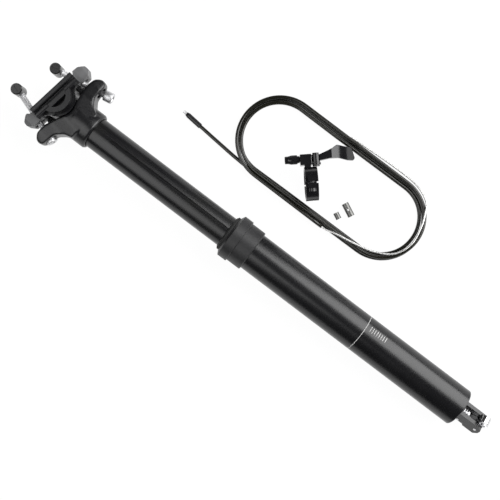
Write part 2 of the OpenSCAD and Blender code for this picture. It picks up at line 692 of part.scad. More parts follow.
module barrel_adjuster() color(black) in_remote() translate([perch_low_u - 0.4, cable_v, 0]) rotate([0, -90, 0])
    difference() {
        rotate_extrude() polygon([[0, -thread_length], [thread_r, -thread_length], [thread_r, 0],
            [adjuster_r - 0.8, 0], [adjuster_r - 0.8, 1.4], [adjuster_r, 1.8],
            [adjuster_r, adjuster_length - 5],
            [3, adjuster_length - 2.4], [3, adjuster_length - 0.4],
            [2.6, adjuster_length], [0, adjuster_length]]);
        for (i = [0:11]) rotate(30 * i) translate([adjuster_r + 0.5, 0, 2.4]) cylinder(h = 20, r = 0.9);
        translate([0, 0, 2]) cylinder(h = 40, r = housing_r + 0.1);
        translate([0, 0, -10]) cylinder(h = 40, r = cable_r + 0.4);
    }

// Cable and its housing

// A point of the oval, at a step round the loops, as x and y from the coil's centre
function oval(step, radius) = let (k = step % loop_steps, far = side_steps + end_steps)
    k < side_steps ? [coil_half_length * (2 * k / side_steps - 1), radius]
    : k < far ? let (a = 90 - 180 * (k - side_steps) / end_steps)
        [coil_half_length + radius * cos(a), radius * sin(a)]
    : k < far + side_steps ? [coil_half_length * (1 - 2 * (k - far) / side_steps), -radius]
    : let (a = 270 - 180 * (k - far - side_steps) / end_steps)
        [-coil_half_length + radius * cos(a), radius * sin(a)];

function smooth_step(t) = t <= 0 ? 0 : t >= 1 ? 1 : t * t * (3 - 2 * t);

// The loops spiral in on top, drop to the bench and spiral out again below, half a strand inside
coil_path = [for (k = [coil_from:coil_to])
    let (done = min(k - coil_from, coil_to - k), turn = (k - (coil_from + coil_to) / 2) / climb_steps,
         inset = strand_pitch * (done / loop_steps + smooth_step(turn + 1) / 2),
         p = coil_at + oval(k, coil_r - inset))
    [p.x, p.y, floor_z(p.x) + housing_r + layer_rise * (1 - smooth_step(turn + 0.5))]];
coil_high = coil_path[0];
coil_low = coil_path[len(coil_path) - 1];
over_coil = 2 * housing_d + loop_gap + 0.4 + cable_r;

tail_path = on_bench(tail_route, coil_low, ferrule_r, housing_r);
cable_path = concat([coil_high], on_bench(cable_route, coil_high, cable_r, over_coil));
tail_end = tail_path[len(tail_path) - 1];
tail_run = [cos(tail_yaw) * cos(floor_tilt), sin(tail_yaw), -cos(tail_yaw) * sin(floor_tilt)];

echo(coil_gap = least_gap(coil_path, housing_d, 5));
echo(spring_gap = least_gap(spring_path, spring_wire, 5));

module housing_coil() color(rubber) tube(coil_path, housing_r, 6, [0, 0, 1], floor_run, floor_run);

module housing_tail() color(rubber)
    tube(spline(tail_path, 2), housing_r, 8, [0, 0, 1], floor_run, tail_run);

module on_tail(length) translate(tail_end) rotate([0, floor_tilt, 0]) rotate(tail_yaw) rotate([0, 90, 0])
    translate([0, 0, length]) children();

module housing_ferrule() color(satin) on_tail(0) rotate_extrude() polygon([[0, 0], [ferrule_r, 0],
    [ferrule_r, ferrule_length - 2], [ferrule_r - 0.6, ferrule_length], [0, ferrule_length]]);

module cable_head() color(steel) on_tail(ferrule_length) cylinder(h = cable_head_length, r = cable_head_r);

module inner_cable() color(steel)
    tube(spline(cable_path, 4), cable_r, 8, [0, 0, 1], -floor_run, [1, 0.05, 0]);

module anchor_barrel() color(steel) lying(anchor_at, anchor_turn, anchor_r) rotate([0, 90, 0]) difference() {
    cylinder(h = anchor_length, r = anchor_r, center = true);
    rotate([0, 90, 0]) cylinder(h = 20, r = cable_r + 0.3, center = true);
    translate([0, 0, 1]) cylinder(h = 20, r = grub_r + seat_gap);
}

module grub_screw() color(grey) lying(grub_at, grub_turn, grub_r) rotate([0, 90, 0]) difference() {
    cylinder(h = grub_length, r = grub_r, center = true);
    translate([0, 0, grub_length / 2 - 2]) cylinder(h = 5, r = 1.2, $fn = 6);
}

outer_tube();
collar();
wiper_seal();
upper_bushing();
guide_keys();
stanchion();
lower_bushing();
head_yoke();
lower_cradle();
upper_clamp();
front_bolt();
rear_bolt();
front_barrel_nut();
rear_barrel_nut();
cartridge_tube();
cartridge_gland();
cartridge_cap();
piston_rod();
piston();
valve_stem();
release_clevis();
release_lever();
lever_pin();
stop_pin();
stem_spring();
remote_perch();
bar_strap();
strap_screws();
thumb_lever();
pivot_bolt();
pivot_bushing();
barrel_adjuster();
housing_coil();
housing_tail();
housing_ferrule();
inner_cable();
cable_head();
anchor_barrel();
grub_screw();
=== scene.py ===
"""Looks of a dropper seatpost with its remote lever and release cable.

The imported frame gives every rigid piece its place. This script dresses those
pieces, and makes the ones that the solids only outline: threaded clamp bolts,
the foot's return spring, the cable with its housing and the printed scale.
All lengths are in metres, in the frame's own axes: X up the post to the saddle,
Y to the saddle's rear and Z up from the bench.
"""

from __future__ import annotations

import logging
import math
from dataclasses import dataclass
from enum import Enum
from typing import Callable, Sequence

import bpy
from mathutils import Matrix, Vector

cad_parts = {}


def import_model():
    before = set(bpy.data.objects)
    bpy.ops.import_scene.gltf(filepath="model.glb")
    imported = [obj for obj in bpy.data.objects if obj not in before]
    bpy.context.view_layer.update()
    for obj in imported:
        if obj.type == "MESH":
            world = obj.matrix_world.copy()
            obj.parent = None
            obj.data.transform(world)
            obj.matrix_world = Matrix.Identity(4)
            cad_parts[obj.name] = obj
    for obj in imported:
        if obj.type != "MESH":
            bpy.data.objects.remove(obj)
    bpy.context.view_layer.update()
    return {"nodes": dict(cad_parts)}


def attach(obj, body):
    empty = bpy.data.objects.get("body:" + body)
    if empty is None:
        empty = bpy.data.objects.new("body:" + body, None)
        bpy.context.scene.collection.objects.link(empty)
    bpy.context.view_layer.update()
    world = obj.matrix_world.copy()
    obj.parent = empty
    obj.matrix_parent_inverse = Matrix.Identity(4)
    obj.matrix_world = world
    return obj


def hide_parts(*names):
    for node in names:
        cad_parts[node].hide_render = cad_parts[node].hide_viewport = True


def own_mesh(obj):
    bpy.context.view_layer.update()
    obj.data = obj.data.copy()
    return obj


LOG = logging.getLogger("seatpost")
MM = 0.001
Colour = tuple[float, float, float]

# What every finish shares: its clear layer, its two noises and the way they are read.
COAT_ROUGHNESS = 0.12
FINE_DETAIL = 4.0
FINE_RANGE = (0.3, 0.7)
PATCH_SCALE = 55.0
PATCH_DETAIL = 3.0
PATCH_RANGE = (0.42, 0.68)
BUMP_STRENGTH = 0.5
END_RANGE = (12 * MM, 15 * MM)


class Grain(Enum):
    """How a finish's fine texture runs over the surface."""

    EVEN = (1.0, 1.0, 1.0)
    ROUND_THE_POST = (14.0, 0.35, 0.35)
    ALONG_THE_POST = (0.04, 1.0, 1.0)


@dataclass(frozen=True)
class Finish:
    """One surface finish, written as a procedural material.

    Attributes:
        name: Name of the material.
        colour: Main colour.
        worn: Colour in the paler patches.
        roughness: Lowest and highest roughness.
        metallic: 1 for bare metal and 0 for paint, rubber or plastic.
        scale: Size of the fine texture, in features per metre.
        bump: Depth of the fine texture, in millimetres.
        coat: Strength of a clear top layer.
        grain: Direction of the fine texture.
        ends: Colour of the faces far out to both sides, where it differs.
    """

    name: str
    colour: Colour
    worn: Colour
    roughness: tuple[float, float]
    metallic: float = 0.0
    scale: float = 900.0
    bump: float = 0.01
    coat: float = 0.0
    grain: Grain = Grain.EVEN
    ends: Colour | None = None

    def material(self) -> bpy.types.Material:
        """Builds the finish.

        Returns:
            The material, with its colour, roughness and bump from noise.
        """
        found = bpy.data.materials.get(self.name)
        if found:
            return found
        made = bpy.data.materials.new(self.name)
        made.use_nodes = True
        nodes, links = made.node_tree.nodes, made.node_tree.links
        shader = nodes["Principled BSDF"]
        shader.inputs["Metallic"].default_value = self.metallic
        shader.inputs["Coat Weight"].default_value = self.coat
        shader.inputs["Coat Roughness"].default_value = COAT_ROUGHNESS
        place = nodes.new("ShaderNodeTexCoord")
        turn = nodes.new("ShaderNodeMapping")
        turn.inputs["Scale"].default_value = self.grain.value
        links.new(place.outputs["Object"], turn.inputs["Vector"])
        fine = nodes.new("ShaderNodeTexNoise")
        fine.inputs["Scale"].default_value = self.scale
        fine.inputs["Detail"].default_value = FINE_DETAIL
        links.new(turn.outputs["Vector"], fine.inputs["Vector"])
        broad = nodes.new("ShaderNodeTexNoise")
        broad.inputs["Scale"].default_value = PATCH_SCALE
        broad.inputs["Detail"].default_value = PATCH_DETAIL
        links.new(place.outputs["Object"], broad.inputs["Vector"])
        blend = nodes.new("ShaderNodeMix")
        blend.data_type = "RGBA"
        blend.inputs["A"].default_value = (*self.colour, 1.0)
        blend.inputs["B"].default_value = (*self.worn, 1.0)
        patches = nodes.new("ShaderNodeMapRange")
        patches.inputs["From Min"].default_value = PATCH_RANGE[0]
        patches.inputs["From Max"].default_value = PATCH_RANGE[1]
        links.new(broad.outputs["Fac"], patches.inputs["Value"])
        links.new(patches.outputs["Result"], blend.inputs["Factor"])
        shade = self.end_shade(made, place, blend) if self.ends else blend
        links.new(shade.outputs["Result"], shader.inputs["Base Color"])
        gloss = nodes.new("ShaderNodeMapRange")
        gloss.inputs["From Min"].default_value = FINE_RANGE[0]
        gloss.inputs["From Max"].default_value = FINE_RANGE[1]
        gloss.inputs["To Min"].default_value = self.roughness[0]
        gloss.inputs["To Max"].default_value = self.roughness[1]
        links.new(fine.outputs["Fac"], gloss.inputs["Value"])
        links.new(gloss.outputs["Result"], shader.inputs["Roughness"])
        relief = nodes.new("ShaderNodeBump")
        relief.inputs["Strength"].default_value = BUMP_STRENGTH
        relief.inputs["Distance"].default_value = self.bump * MM
        links.new(fine.outputs["Fac"], relief.inputs["Height"])
        links.new(relief.outputs["Normal"], shader.inputs["Normal"])
        return made

    def end_shade(
            self, made: bpy.types.Material, place: bpy.types.Node, inner: bpy.types.Node) -> bpy.types.Node:
        """Blends to another colour away from the middle plane.

        Args:
            made: The material.
            place: Its node of coordinates.
            inner: The node that mixes the colour near the middle.

        Returns:
            The node that mixes both.
        """
        nodes, links = made.node_tree.nodes, made.node_tree.links
        parts, size, reach, blend = (nodes.new(n) for n in (
            "ShaderNodeSeparateXYZ", "ShaderNodeMath", "ShaderNodeMapRange", "ShaderNodeMix"))
        size.operation, blend.data_type = "ABSOLUTE", "RGBA"
        reach.inputs["From Min"].default_value = END_RANGE[0]
        reach.inputs["From Max"].default_value = END_RANGE[1]
        blend.inputs["B"].default_value = (*(self.ends or self.colour), 1.0)
        links.new(place.outputs["Object"], parts.inputs["Vector"])
        links.new(parts.outputs["Z"], size.inputs[0])
        links.new(size.outputs[0], reach.inputs["Value"])
        links.new(reach.outputs["Result"], blend.inputs["Factor"])
        links.new(inner.outputs["Result"], blend.inputs["A"])
        return blend


BLACK_TUBE = Finish(
    "black_anodised_tube", (0.004, 0.004, 0.005), (0.006, 0.006, 0.007), (0.24, 0.32),
    scale=700.0, bump=0.003, grain=Grain.ROUND_THE_POST)
BLACK_COLLAR = Finish(
    "black_matte_collar", (0.012, 0.012, 0.013), (0.016, 0.016, 0.017), (0.40, 0.50),
    scale=900.0, bump=0.004, grain=Grain.ROUND_THE_POST)
BLACK_SLIDER = Finish(
    "black_hard_anodised_slider", (0.004, 0.004, 0.005), (0.006, 0.006, 0.006), (0.24, 0.32),
    scale=600.0, bump=0.001, grain=Grain.ALONG_THE_POST)
FORGED = Finish(
    "forged_satin_black", (0.005, 0.005, 0.006), (0.008, 0.008, 0.009), (0.26, 0.36),
    scale=1200.0, bump=0.005)
BLACK_PART = Finish(
    "black_anodised_part", (0.005, 0.005, 0.006), (0.008, 0.008, 0.009), (0.24, 0.36),
    scale=1500.0, bump=0.004)
# The clamp is grey in the middle and darker from 12 to 15 mm out to both sides of the middle plane.
GREY_ALLOY = Finish(
    "grey_clamp_dark_ends", (0.105, 0.106, 0.108), (0.150, 0.151, 0.154), (0.36, 0.52),
    scale=1500.0, bump=0.010, ends=(0.014, 0.014, 0.015))
BRIGHT_STEEL = Finish(
    "bright_plated_steel", (0.78, 0.78, 0.79), (0.68, 0.68, 0.69), (0.42, 0.54),
    metallic=1.0, scale=1200.0, bump=0.003)
CHROME = Finish(
    "polished_chrome", (0.74, 0.74, 0.75), (0.66, 0.66, 0.67), (0.08, 0.18),
    metallic=1.0, scale=800.0, bump=0.002)
BLACK_OXIDE = Finish(
    "black_oxide_steel", (0.010, 0.010, 0.011), (0.016, 0.016, 0.016), (0.18, 0.28),
    scale=1500.0, bump=0.003)
REMOTE_BLACK = Finish(
    "remote_gloss_black", (0.006, 0.006, 0.007), (0.009, 0.009, 0.010), (0.14, 0.22),
    scale=1500.0, bump=0.002)
BUSHING_BRASS = Finish(
    "bushing_brass", (0.52, 0.36, 0.14), (0.44, 0.29, 0.11), (0.30, 0.45),
    metallic=1.0, scale=1200.0, bump=0.006, grain=Grain.ROUND_THE_POST)
SEAL_RUBBER = Finish(
    "seal_rubber", (0.010, 0.010, 0.010), (0.016, 0.016, 0.016), (0.55, 0.75),
    scale=2000.0, bump=0.015)
HOUSING = Finish(
    "housing_sheath", (0.009, 0.009, 0.006), (0.013, 0.012, 0.009), (0.15, 0.19),
    scale=300.0, bump=0.0)
DULL_STEEL = Finish(
    "dull_plated_steel", (0.15, 0.15, 0.145), (0.11, 0.11, 0.105), (0.34, 0.44),
    metallic=1.0, scale=1200.0, bump=0.002)
CABLE_STEEL = Finish(
    "cable_steel", (0.78, 0.78, 0.77), (0.70, 0.70, 0.69), (0.40, 0.48),
    metallic=1.0, scale=2500.0, bump=0.001)
WHITE_INK = Finish(
    "white_ink", (0.62, 0.62, 0.61), (0.52, 0.52, 0.51), (0.55, 0.70),
    scale=2500.0, bump=0.004)

NODE_FINISH: dict[str, Finish] = {
    "outer_tube": BLACK_TUBE,
    "collar": BLACK_COLLAR,
    "wiper_seal": SEAL_RUBBER,
    "upper_bushing": BUSHING_BRASS,
    "guide_keys": BUSHING_BRASS,
    "stanchion": BLACK_SLIDER,
    "lower_bushing": BUSHING_BRASS,
    "lower_cradle": FORGED,
    "upper_clamp": GREY_ALLOY,
    "front_barrel_nut": BLACK_OXIDE,
    "rear_barrel_nut": BLACK_OXIDE,
    "cartridge_tube": BRIGHT_STEEL,
    "cartridge_gland": BUSHING_BRASS,
    "cartridge_cap": BLACK_PART,
    "piston_rod": CHROME,
    "piston": BUSHING_BRASS,
    "valve_stem": BRIGHT_STEEL,
    "release_clevis": BLACK_PART,
    "release_lever": CHROME,
    "lever_pin": BRIGHT_STEEL,
    "stop_pin": BRIGHT_STEEL,
    "remote_perch": REMOTE_BLACK,
    "bar_strap": REMOTE_BLACK,
    "strap_screws": BLACK_OXIDE,
    "thumb_lever": REMOTE_BLACK,
    "pivot_bolt": BLACK_OXIDE,
    "pivot_bushing": BUSHING_BRASS,
    "barrel_adjuster": REMOTE_BLACK,
    "housing_ferrule": BLACK_PART,
    "cable_head": BRIGHT_STEEL,
    "anchor_barrel": DULL_STEEL,
    "grub_screw": DULL_STEEL,
}


class Body(Enum):
    """The frame's moving bodies that new pieces ride on."""

    LOWER_POST = "lower_post"
    UPPER_POST = "upper_post"


def dress(obj: bpy.types.Object, finish: Finish) -> None:
    """Gives a piece one finish all over.

    Args:
        obj: The piece.
        finish: Its finish.
    """
    obj.data.materials.clear()
    obj.data.materials.append(finish.material())


def seat(obj: bpy.types.Object, body: Body, slot: str, *nodes: str) -> None:
    """Ties a finished piece to the frame and reports it.

    Args:
        obj: The piece, in its place.
        body: The body that it moves with.
        slot: The record's material slot for it; not used.
        *nodes: The frame's nodes that it stands for.
    """
    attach(obj, body.value)
    if nodes:
        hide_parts(*nodes)
    LOG.info("%s rides on %s with %d faces", obj.name, body.value, len(obj.data.polygons))


def mesh_piece(
        name: str, verts: Sequence[Vector], faces: Sequence[Sequence[int]],
        smooth: bool = True) -> bpy.types.Object:
    """Makes a mesh object at the origin.

    Args:
        name: Name of the piece.
        verts: Its points.
        faces: Its faces, as rows of point numbers.
        smooth: Whether its faces shade smoothly.

    Returns:
        The new object, in the scene.
    """
    mesh = bpy.data.meshes.new(name)
    mesh.from_pydata([tuple(v) for v in verts], [], [tuple(f) for f in faces])
    mesh.polygons.foreach_set("use_smooth", [smooth] * len(mesh.polygons))
    mesh.validate()
    obj = bpy.data.objects.new(name, mesh)
    bpy.context.scene.collection.objects.link(obj)
    return obj


def skin(name: str, rings: Sequence[Sequence[Vector]]) -> bpy.types.Object:
    """Closes a row of rings into a solid skin.

    Args:
        name: Name of the piece.
        rings: Rings of equally many points, each turning the same way about the path.

    Returns:
        The new object, with a fan over each end.
    """
    count = len(rings[0])
    verts = [p for ring in rings for p in ring]
    faces: list[tuple[int, ...]] = []
    for row in range(len(rings) - 1):
        for k in range(count):
            a, b = row * count + k, row * count + (k + 1) % count
            faces.append((a, b, b + count, a + count))
    for row, forward in ((0, False), (len(rings) - 1, True)):
        middle = len(verts)
        verts.append(sum(rings[row], Vector()) / count)
        for k in range(count):
            a, b = row * count + k, row * count + (k + 1) % count
            faces.append((a, b, middle) if forward else (b, a, middle))
    return mesh_piece(name, verts, faces)


def spline(points: Sequence[Vector], steps: int) -> list[Vector]:
    """Runs a smooth curve through given points.

    Args:
        points: The points.
        steps: Steps between each two of them.

    Returns:
        The points along the curve.
    """
    last = len(points) - 1
    path: list[Vector] = []
    for i in range(last):
        a, b, c, d = points[max(i - 1, 0)], points[i], points[i + 1], points[min(i + 2, last)]
        for k in range(steps):
            t = k / steps
            bend = (a - b * 2.5 + c * 2 - d * 0.5) * t**2
            twist = (b * 1.5 - c * 1.5 + d * 0.5 - a * 0.5) * t**3
            path.append(b + (c - a) * (t / 2) + bend + twist)
    path.append(points[last].copy())
    return path


def smooth_step(t: float) -> float:
    """Rises smoothly from 0 to 1 as its value does, and stays level outside."""
    t = min(max(t, 0.0), 1.0)
    return t * t * (3 - 2 * t)


def sweep(
        name: str, path: Sequence[Vector], section: Callable[[float, float], float], sides: int,
        up: Vector) -> bpy.types.Object:
    """Sweeps a round section along a path.

    Args:
        name: Name of the piece.
        path: Points of its centre line.
        section: Radius at a distance along the path and an angle round it.
        sides: Points round the section.
        up: A direction that the path never follows.

    Returns:
        The new object.
    """
    rings, run = [], 0.0
    for i, p in enumerate(path):
        if i:
            run += (p - path[i - 1]).length
        ahead = (path[min(i + 1, len(path) - 1)] - path[max(i - 1, 0)]).normalized()
        side = ahead.cross(up).normalized()
        top = side.cross(ahead)
        rings.append([p + (side * math.cos(a) - top * math.sin(a)) * section(run, a)
                      for a in (2 * math.pi * k / sides for k in range(sides))])
    return skin(name, rings)


@dataclass
class Bench:
    """The bench that the set lies on, tilted so that both the clamp's side and the tube's foot touch it."""

    tube_r: float = 15.45 * MM
    insert_length: float = 201 * MM
    clamp_half: float = 27 * MM
    seat_x: float = 175.2 * MM

    @property
    def slope(self) -> float:
        """Fall of the bench for each metre towards the saddle."""
        return (self.clamp_half - self.tube_r) / (self.seat_x + self.insert_length)

    def height(self, x: float) -> float:
        """Height of the bench below a point of the axis."""
        return -self.tube_r - (x + self.insert_length) * self.slope

    def above(self, points: Sequence[tuple[float, float, float]]) -> list[Vector]:
        """Turns routes on the bench into points of the frame.

        Args:
            points: Rows of x, y and height over the bench, in millimetres.

        Returns:
            The points, in metres.
        """
        return [Vector((x * MM, y * MM, self.height(x * MM) + z * MM)) for x, y, z in points]


@dataclass
class Cable:
    """The release cable: a hank of housing with a straight end, and bare wire from its cut end."""

    bench: Bench
    housing_d: float = 3.0
    cable_d: float = 1.2
    wire_d: float = 1.5
    ferrule_r: float = 2.1
    layer_gap: float = 0.6
    strand_gap: float = 0.7
    loops: int = 3
    centre: tuple[float, float] = (-15.0, -84.5)
    half_length: float = 51.0
    radius: float = 35.6
    wire_gap: float = 0.4
    strands: int = 12
    strand_depth: float = 0.015
    lay_length: float = 9.0
    loop_steps: int = 24
    side_steps: int = 3
    end_steps: int = 9
    climb_steps: int = 12
    fine_steps: int = 4
    tail_steps: int = 6
    wire_steps: int = 40
    housing_sides: int = 20
    wire_sides: int = 48
    pushes: Sequence[tuple[float, float]] = (
        (2, 0.0), (4, -0.2), (7, -0.2), (11, 0.0), (23.5, 0.0), (27.5, 0.65), (33, 0.8), (40, 0.8), (44, 0.0),
        (50, 0.0), (54, 1.3), (58.5, 1.2), (62.5, 0.0))
    tail: Sequence[tuple[float, float, float]] = (
        (0, 0, 1), (12, 0, 1), (27, 0, 1), (44, 0, 1), (58, -0.1, 1), (70, -0.3, 1), (82, -0.8, 1),
        (92, -1.3, 0.8), (102, -2.1, 0.5), (112, -2.9, 0.2), (120, -3.6, 0), (126, -4.1, 0))
    wire: Sequence[tuple[float, float, float]] = (
        (-4, -0.1, 0.72), (-12.6, -2.2, 0.98), (-27, -4.6, 1), (-44.4, -8.8, 1), (-58.6, -17.4, 1),
        (-64.8, -31.7, 1), (-62.8, -47, 1), (-58.2, -58.9, 1), (-54, -65.4, 0.85), (-44.6, -70.8, 0.5),
        (-32.7, -73.1, 0.2), (-15.7, -73.4, 0.04), (-2, -73, 0), (12, -72.3, 0), (24, -71.7, 0))

    def oval(self, step: float, radius: float) -> tuple[float, float]:
        """Finds a point of the hank's outline.

        Args:
            step: Steps round the loops.
            radius: Radius of the outline's round ends, in millimetres.

        Returns:
            The point's x and y in millimetres.
        """
        side, half = self.side_steps, self.side_steps + self.end_steps
        angle = 180 / self.end_steps
        k = step % self.loop_steps
        x, y = self.half_length, radius
        if k < side:
            p = (x * (2 * k / side - 1), y)
        elif k < half:
            a = math.radians(90 - angle * (k - side))
            p = (x + radius * math.cos(a), radius * math.sin(a))
        elif k < half + side:
            p = (x * (1 - 2 * (k - half) / side), -y)
        else:
            a = math.radians(270 - angle * (k - half - side))
            p = (-x + radius * math.cos(a), radius * math.sin(a))
        return self.centre[0] + p[0], self.centre[1] + p[1]

    def spread(self, step: float) -> float:
        """Finds how far a strand is pushed out against its neighbour.

        Args:
            step: Steps round the loops.

        Returns:
            The push, in millimetres.
        """
        for (a, low), (b, high) in zip(self.pushes, self.pushes[1:]):
            if a <= step <= b:
                return low + (high - low) * smooth_step((step - a) / (b - a))
        return 0.0

    def hank(self) -> list[Vector]:
        """Follows the loops in on top, down to the bench and out again below, half a strand inside.

        Returns:
            Points of the housing's centre line.
        """
        rise, pitch = self.housing_d + self.layer_gap, self.housing_d + self.strand_gap
        first, last, fine = 1, 1 + self.loop_steps * self.loops, self.fine_steps
        rows = []
        for i in range((last - first) * fine + 1):
            k = first + i / fine
            turn = (k - (first + last) / 2) / self.climb_steps
            inset = pitch * (min(k - first, last - k) / self.loop_steps + smooth_step(turn + 1) / 2)
            x, y = self.oval(k, self.radius - inset + self.spread(k))
            rows.append((x, y, self.housing_d / 2 + rise * (1 - smooth_step(turn + 0.5))))
        return self.bench.above(rows)

    def route(
            self, points: Sequence[tuple[float, float, float]], start: Vector, low: float,
            high: float) -> list[Vector]:
        """Lays a route over the bench.

        Args:
            points: Rows of x and y from the start in millimetres, and a share of the rise.
            start: Where the route starts, in metres.
            low: Height over the bench at a share of 0.
            high: Height at a share of 1.

        Returns:
            The points, in metres.
        """
        x0, y0 = start.x / MM, start.y / MM
        return self.bench.above([(x0 + x, y0 + y, low + t * (high - low)) for x, y, t in points])

    def build(self, nodes: dict[str, bpy.types.Object]) -> None:
        """Makes the housing and the wire.

        Args:
            nodes: The frame's nodes, for the fittings on the housing's end; not used.
        """
        hank = self.hank()
        up = Vector((0, 0, 1))
        tail = self.route(self.tail, hank[-1], self.ferrule_r, self.housing_d / 2)
        path = hank + spline(tail, self.tail_steps)[1:]
        housing = sweep("cable_housing", path, lambda run, a: self.housing_d / 2 * MM, self.housing_sides, up)
        dress(housing, HOUSING)
        seat(housing, Body.LOWER_POST, "housing_plastic", "housing_coil", "housing_tail")
        over = 2 * self.housing_d + self.layer_gap + self.wire_gap + self.cable_d / 2
        line = spline([hank[0]] + self.route(self.wire, hank[0], self.wire_d / 2, over), self.wire_steps)
        wire = sweep("cable_wire", line, self.strand, self.wire_sides, up)
        dress(wire, CABLE_STEEL)
        seat(wire, Body.LOWER_POST, "bright_steel", "inner_cable")

    def strand(self, run: float, angle: float) -> float:
        """Finds the radius of the twisted wire.

        Args:
            run: Distance along it, in metres.
            angle: Angle round it.

        Returns:
            The radius, in metres.
        """
        turn = angle + 2 * math.pi * run / (self.lay_length * MM)
        depth = self.strand_depth
        return self.wire_d / 2 * MM * (1 - depth + depth * math.cos(self.strands * turn))


@dataclass
class ClampBolt:
    """One of the two bolts that pull the saddle clamp together, with its thread and hex socket."""

    name: str
    node: str
    side: int
    slip: float
    seat_n: float = -13.0
    seat_y: float = 25.5
    lean: float = 14.5
    clamp_set: float = 5.0
    shank_r: float = 2.5
    length: float = 45.0
    head_r: float = 4.3
    head_h: float = 7.0
    head_edge: float = 0.8
    soft_edge: float = 0.25
    under_edge: float = 0.4
    fillet: float = 0.3
    socket: float = 2.0
    socket_depth: float = 4.0
    socket_lead: float = 0.35
    socket_mouth: float = 1.3
    pitch: float = 0.8
    thread_depth: float = 0.34
    rows_per_turn: int = 6
    plain: float = 6.0
    point_length: float = 0.5
    point_taper: float = 0.6
    sides: int = 36
    clamp_at: tuple[float, float, float] = (189.5, -3.5, 0.0)
    clamp_tilt: float = -10.0

    def place(self) -> Matrix:
        """Frame of the bolt: z runs up it from the seat of its head, in millimetres."""
        head = Matrix.Translation(self.clamp_at) @ Matrix.Rotation(math.radians(self.clamp_tilt), 4, "Z")
        seat_at = Matrix.Translation((self.seat_n, self.side * self.seat_y, 0.0))
        lean = Matrix.Rotation(math.radians(self.clamp_set - self.side * self.lean), 4, "Z")
        along = Matrix.Rotation(math.radians(90), 4, "Y") @ Matrix.Translation((0.0, 0.0, -self.slip))
        return Matrix.Scale(MM, 4) @ head @ seat_at @ lean @ along

    def hexagon(self, angle: float) -> float:
        """Radius of the hex socket at an angle."""
        return self.socket / math.cos((angle % (math.pi / 3)) - math.pi / 6)

    def thread(self, z: float, angle: float) -> float:
        """Finds the radius of the thread.

        Args:
            z: Height over the seat of the head, in millimetres.
            angle: Angle round the bolt.

        Returns:
            The radius, in millimetres.
        """
        phase = (z / self.pitch - angle / (2 * math.pi)) % 1.0
        ramp = min(1.0, (z - self.plain) / self.pitch, (self.length - z) / self.pitch)
        return self.shank_r - self.thread_depth * max(ramp, 0.0) * abs(2 * phase - 1)

    def build(self) -> None:
        """Makes the bolt and puts it in place of its plain solid."""
        place = self.place()
        angles = [2 * math.pi * k / self.sides for k in range(self.sides)]
        rows: list[tuple[float, Callable[[float], float]]] = []

        def flat(z: float, r: float) -> None:
            """Adds a round row of one height and radius."""
            rows.append((z, lambda a: r))

        low = -self.head_h
        rows.append((low + self.socket_depth, self.hexagon))
        rows.append((low + self.socket_lead, self.hexagon))
        flat(low, self.socket * self.socket_mouth)
        flat(low, self.head_r - self.head_edge)
        flat(low + self.soft_edge, self.head_r - self.soft_edge)
        flat(low + self.head_edge, self.head_r)
        flat(-self.under_edge, self.head_r)
        flat(0.0, self.head_r - self.fillet)
        flat(0.0, self.shank_r + self.fillet)
        flat(self.fillet, self.shank_r)
        threaded = self.length - self.point_length - self.plain
        steps = round(threaded / self.pitch * self.rows_per_turn)
        for i in range(steps + 1):
            z = self.plain + threaded * i / steps
            rows.append((z, lambda a, z=z: self.thread(z, a)))
        flat(self.length, self.shank_r - self.point_taper)
        rings = [[place @ Vector((r(a) * math.cos(a), r(a) * math.sin(a), z)) for a in angles]
                 for z, r in rows]
        bolt = skin(self.name, rings)
        dress(bolt, BRIGHT_STEEL)
        seat(bolt, Body.UPPER_POST, "bright_steel", self.node)


@dataclass
class Forging:
    """A forged piece whose edges and faces run into each other softly, as the die leaves them."""

    name: str
    node: str
    body: Body
    slot: str
    finish: Finish
    crisp_below: float
    fade: float = 5.0
    bore_r: float = 5.0
    bore_fade: float = 2.0
    bore_share: float = 0.1
    voxel: float = 0.5
    factor: float = 0.5
    rounds: int = 50
    share: float = 0.35

    def build(self, nodes: dict[str, bpy.types.Object], bores: Sequence[Matrix]) -> None:
        """Softens a copy of the solid and puts it in the solid's place.

        Args:
            nodes: The frame's nodes.
            bores: Frames whose z axes are bores that stay true.
        """
        source = nodes[self.node]
        mesh = source.data.copy()
        mesh.transform(source.matrix_world)
        obj = bpy.data.objects.new(self.name, mesh)
        bpy.context.scene.collection.objects.link(obj)
        even = obj.modifiers.new("even", "REMESH")
        even.mode, even.voxel_size = "VOXEL", self.voxel * MM
        self.settle(obj)
        group = obj.vertex_groups.new(name="soft")
        inverse = [m.inverted() for m in bores]
        for v in obj.data.vertices:
            weight = smooth_step((v.co.x / MM - self.crisp_below) / self.fade)
            for m in inverse:
                p = m @ v.co
                away = smooth_step((math.hypot(p.x, p.y) - self.bore_r) / self.bore_fade)
                weight *= self.bore_share + (1 - self.bore_share) * away
            group.add([v.index], weight, "REPLACE")
        soft = obj.modifiers.new("soft", "SMOOTH")
        soft.factor, soft.iterations, soft.vertex_group = self.factor, self.rounds, group.name
        thin = obj.modifiers.new("thin", "DECIMATE")
        thin.ratio = self.share
        self.settle(obj)
        dress(obj, self.finish)
        seat(obj, self.body, self.slot, self.node)

    def settle(self, obj: bpy.types.Object) -> None:
        """Turns a piece's modifiers into plain mesh, shaded smoothly."""
        bpy.context.view_layer.update()
        shown = obj.evaluated_get(bpy.context.evaluated_depsgraph_get())
        made = bpy.data.meshes.new_from_object(shown)
        obj.modifiers.clear()
        obj.data = made
        made.polygons.foreach_set("use_smooth", [True] * len(made.polygons))


